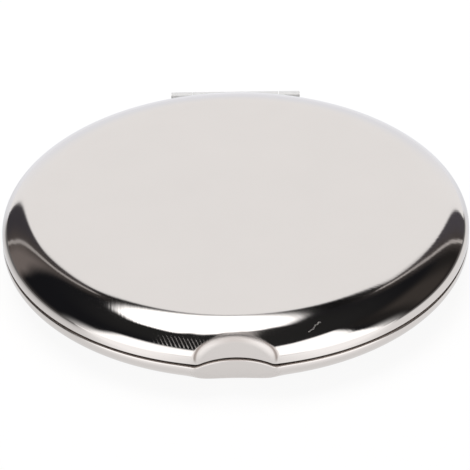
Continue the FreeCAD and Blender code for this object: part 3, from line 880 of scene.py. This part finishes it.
def card_mask(room, towards, points, softness):
    """1 for directions inside a card and 0 outside, with soft edges. Its corners are unit vectors."""
    middle = sum(points, Vector())
    soft = math.sin(math.radians(softness)) / 2
    mask = 1.0
    for start, end in zip(points, points[1:] + points[:1]):
        side = start.cross(end).normalized()
        if side.dot(middle) < 0:
            side.negate()
        inside = room.vector("DOT_PRODUCT", towards, side)
        mask = room.math("MULTIPLY", mask, room.soft_ramp(inside, -soft, soft))
    return mask


def stand_cards(points, width):
    """The corners of each straight length of a stand."""
    for start, end in zip(points, points[1:]):
        side = start.cross(end).normalized() * math.radians(width) / 2
        yield [start + side, end + side, end - side, start - side]


def studio_layers():
    """Radiance, colour, softness and corners of everything in the studio, from back to front.

    A stand has a width, and is made of a card for each straight length.
    """
    for layers in (BACK_CARDS, STANDS, FRONT_CARDS):
        for radiance, hex_colour, softness, *width, places in layers.values():
            points = [direction(*place) for place in places]
            for corners in stand_cards(points, *width) if width else [points]:
                yield radiance, hex_colour, softness, corners


def studio_dome_light():
    """A dark room with drapes, stands, cards and a white backdrop."""
    room = Finish("studio_cards")
    towards = room.vector("NORMALIZE", room.place)
    seen = DARK_ROOM
    for radiance, hex_colour, softness, points in studio_layers():
        mask = card_mask(room, towards, points, softness)
        light = [channel * radiance for channel in linear(hex_colour)[:3]]
        seen = room.add("MixRGB", {"Fac": mask, "Color1": seen, "Color2": (*light, 1.0)})
    return room.done("Emission", {"Color": seen, "Strength": 1.0})


class COMPACT_OT_studio(bpy.types.Operator):
    """Sets the floor, the panels round the object, the light and the camera"""

    bl_idname = "compact.studio"
    bl_label = "Studio"
    # Metres, watts, and degrees of azimuth from the front and of elevation. The floor's own levels are how
    # much of it glows, how bright its painted light is before the front cards, and the colour of its
    # painted light before the backdrop.
    floor_half = 6.0
    floor_share = 0.9
    painted_front_level = 0.87
    floor_behind = "#f6f9ff"
    painted_pool_middle = (16 * MM, 0, 0)
    # Ways along the floor, towards the rear and towards the front, alike on both sides.
    sweep_way = (-0.82, 0.57, 0)
    front_way = (-0.22, -0.975, 0)
    # Ramps of the floor's painted light and shade, from one value to another, with the levels there if not
    # 0 and 1.
    painted_pool_ramp = (38 * MM, 108 * MM, 0.86, 0.06)
    wings_ramp = (0.05, 0.5, 0.0, 0.36)
    painted_shade_ramp = (37.5 * MM, 42.5 * MM)
    front_ramp = (19 * MM, 31 * MM)
    sweep_ramp = (-40 * MM, -24 * MM)
    rear_ramp = (-25 * MM, -5 * MM)
    backdrop_ramp = (0.6, 1.0, 1.0, 0.84)
    lamp_size = (0.6, 0.4)
    lamp_power = 4.5
    lamp_distance = 0.7
    lamp_way = (192, 62)
    # The room's light on the object. The eye sees it as white.
    room_level = 0.55

    def execute(self, context):
        studio = context.scene.compact_studio
        context.scene.view_settings.view_transform = "Standard"
        self.set_floor(studio)
        self.set_dome(studio)
        self.set_light(context)
        self.set_camera(context, studio)
        return {"FINISHED"}

    def set_floor(self, studio):
        """A wide pale floor that the object stands on."""
        paper = Finish("paper_floor_matt")
        path = paper.add("LightPath").outputs
        clear = paper.math("MAXIMUM", path["Is Camera Ray"], path["Is Transmission Ray"])
        seen = paper.math("MAXIMUM", clear, path["Is Glossy Ray"])
        # Painted light and shade that only reflections show: the steel sees a painted pool of light on the
        # floor fade towards the dark room at the sides, bright before the front cards but for the middle,
        # painted shade close to the case, and even with the backdrop behind.
        depth = paper.add("SeparateXYZ", {0: paper.place}).outputs["Y"]
        radius = paper.vector("LENGTH", paper.place)
        away = paper.vector("DISTANCE", paper.place, self.painted_pool_middle)
        side = paper.vector("ABSOLUTE", paper.vector("NORMALIZE", paper.place))
        side = paper.add("SeparateXYZ", {0: side})
        mirrored = paper.add("SeparateXYZ", {0: paper.vector("ABSOLUTE", paper.place)})
        mirrored = paper.add("CombineXYZ", {0: mirrored, 1: depth})
        sweep = paper.vector("DOT_PRODUCT", mirrored, self.sweep_way)
        ahead = paper.vector("DOT_PRODUCT", mirrored, self.front_way)
        # Painted light and shade in the floor's glow: a pool of light, and shade close to the case.
        painted_pool = paper.soft_ramp(away, *self.painted_pool_ramp)
        wings = paper.soft_ramp(side, *self.wings_ramp)
        out_of_painted_shade = paper.soft_ramp(radius, *self.painted_shade_ramp)
        in_front = paper.soft_ramp(ahead, *self.front_ramp)
        swept = paper.soft_ramp(sweep, *self.sweep_ramp)
        rear = paper.soft_ramp(depth, *self.rear_ramp)
        backdrop = paper.soft_ramp(side, *self.backdrop_ramp)
        front = paper.math("ADD", paper.math("MULTIPLY", wings, out_of_painted_shade), self.painted_front_level)
        behind = paper.math("MULTIPLY", swept, rear)
        level = painted_pool
        for part, there in ((in_front, front), (behind, backdrop), (clear, 1.0)):
            level = paper.add("Mix", {"Factor": part, "A": level, "B": there})
        clamped = {"operation": "SUBTRACT", "use_clamp": True}
        cool = paper.add("Math", {0: behind, 1: clear}, clamped)
        behind_tone = linear(self.floor_behind)
        tone = paper.add("MixRGB", {"Fac": cool, "Color1": (1, 1, 1, 1), "Color2": behind_tone})
        share = paper.math("MULTIPLY", seen, self.floor_share)
        matt = paper.add("BsdfDiffuse", {"Color": studio.floor})
        glow = paper.add("Emission", {"Color": tone, "Strength": level})
        material = paper.done("MixShader", {"Fac": share, 1: matt, 2: glow})
        half = self.floor_half
        corners = [(-half, -half, 0), (half, -half, 0), (half, half, 0), (-half, half, 0)]
        floor = new_piece("floor", corners, [(0, 1, 2, 3)], [material])

    def set_dome(self, studio):
        """The cards round the object, which only reflections show."""
        rows, columns = 24, 48
        # Degrees of elevation.
        lowest, span = -10, 100
        vertices = []
        for j in range(rows):
            elevation = lowest + span * j / rows
            vertices += [direction(360 * i / columns, elevation) * studio.dome for i in range(columns)]
        faces = []
        for j in range(rows - 1):
            lower, upper = j * columns, (j + 1) * columns
            for i in range(columns):
                after = (i + 1) % columns
                faces.append((lower + i, lower + after, upper + after, upper + i))
        faces.append([(rows - 1) * columns + i for i in range(columns)])
        dome = new_piece("studio_dome", vertices, faces, [studio_dome_light()])
        dome.location.z = SEAM_Z
        dome.visible_camera = False
        dome.visible_diffuse = False
        dome.visible_shadow = False
        dome.visible_transmission = False

    def set_light(self, context):
        """A white room and one soft lamp above and behind the object."""
        world = bpy.data.worlds.new("studio_room")
        context.scene.world = world
        room = Shader(world)
        path = room.add("LightPath").outputs
        seen = path["Is Camera Ray"]
        for ray in ("Is Glossy Ray", "Is Transmission Ray"):
            seen = room.math("MAXIMUM", seen, path[ray])
        level = room.ramp(seen, 0.0, 1.0, self.room_level, 1.0)
        white = room.add("Background", {"Color": (1, 1, 1, 1), "Strength": level})
        room.add("OutputWorld", {"Surface": white})
        lamp = bpy.data.lights.new("soft_lamp", "AREA")
        lamp.shape = "RECTANGLE"
        lamp.size, lamp.size_y = self.lamp_size
        lamp.energy = self.lamp_power
        made = bpy.data.objects.new("soft_lamp", lamp)
        context.scene.collection.objects.link(made)
        towards = direction(*self.lamp_way)
        made.location = towards * self.lamp_distance
        made.rotation_euler = towards.to_track_quat("Z", "Y").to_euler()
        made.visible_glossy = False

    def set_camera(self, context, studio):
        """A camera at the photograph's viewing angle."""
        camera = bpy.data.cameras.new("camera")
        camera.sensor_width = 36.0
        camera.lens = studio.lens / MM
        made = bpy.data.objects.new("camera", camera)
        context.scene.collection.objects.link(made)
        middle = Vector((0, 0, SEAM_Z))
        back = direction(math.degrees(studio.azimuth), math.degrees(studio.elevation))
        right = Vector((0, 0, 1)).cross(back).normalized()
        up = back.cross(right)
        cos, sin = math.cos(studio.roll), math.sin(studio.roll)
        right, up = right * cos + up * sin, up * cos - right * sin
        place = middle + back * studio.distance
        aim = middle - right * studio.aim_right - up * studio.aim_down
        back = (place - aim).normalized()
        right = up.cross(back).normalized()
        up = back.cross(right)
        made.matrix_world = Matrix.Translation(place) @ Matrix((right, up, back)).transposed().to_4x4()
        context.scene.camera = made


OPERATORS = (
    COMPACT_OT_case_halves,
    COMPACT_OT_frames,
    COMPACT_OT_mirrors,
    COMPACT_OT_pads,
    COMPACT_OT_hinge,
    COMPACT_OT_catch,
    COMPACT_OT_studio,
)
GROUPS = {
    "compact_case": CompactCase,
    "compact_mirrors": CompactMirrors,
    "compact_colours": CompactColours,
    "compact_studio": CompactStudio,
}


class COMPACT_PT_panel(bpy.types.Panel):
    """Lists the pieces of the compact and the values that shape them"""

    bl_idname = "COMPACT_PT_panel"
    bl_label = "Compact mirror"
    bl_space_type = "VIEW_3D"
    bl_region_type = "UI"
    bl_category = "Compact"

    def draw(self, context):
        for operator in OPERATORS:
            self.layout.operator(operator.bl_idname)
        for group in GROUPS:
            values = getattr(context.scene, group)
            box = self.layout.box()
            for name in values.__annotations__:
                box.prop(values, name)


CLASSES = (*GROUPS.values(), *OPERATORS, COMPACT_PT_panel)


def register():
    """Registers the classes and puts their values on the scene."""
    for made in CLASSES:
        bpy.utils.register_class(made)
    for name, group in GROUPS.items():
        setattr(bpy.types.Scene, name, bpy.props.PointerProperty(type=group))


def unregister():
    """Takes the values and the classes away again."""
    for name in GROUPS:
        delattr(bpy.types.Scene, name)
    for made in reversed(CLASSES):
        bpy.utils.unregister_class(made)


def main():
    """Makes the pieces and the studio."""
    register()
    for operator in OPERATORS:
        group, name = operator.bl_idname.split(".")
        getattr(getattr(bpy.ops, group), name)()


if __name__ == "__main__":
    main()
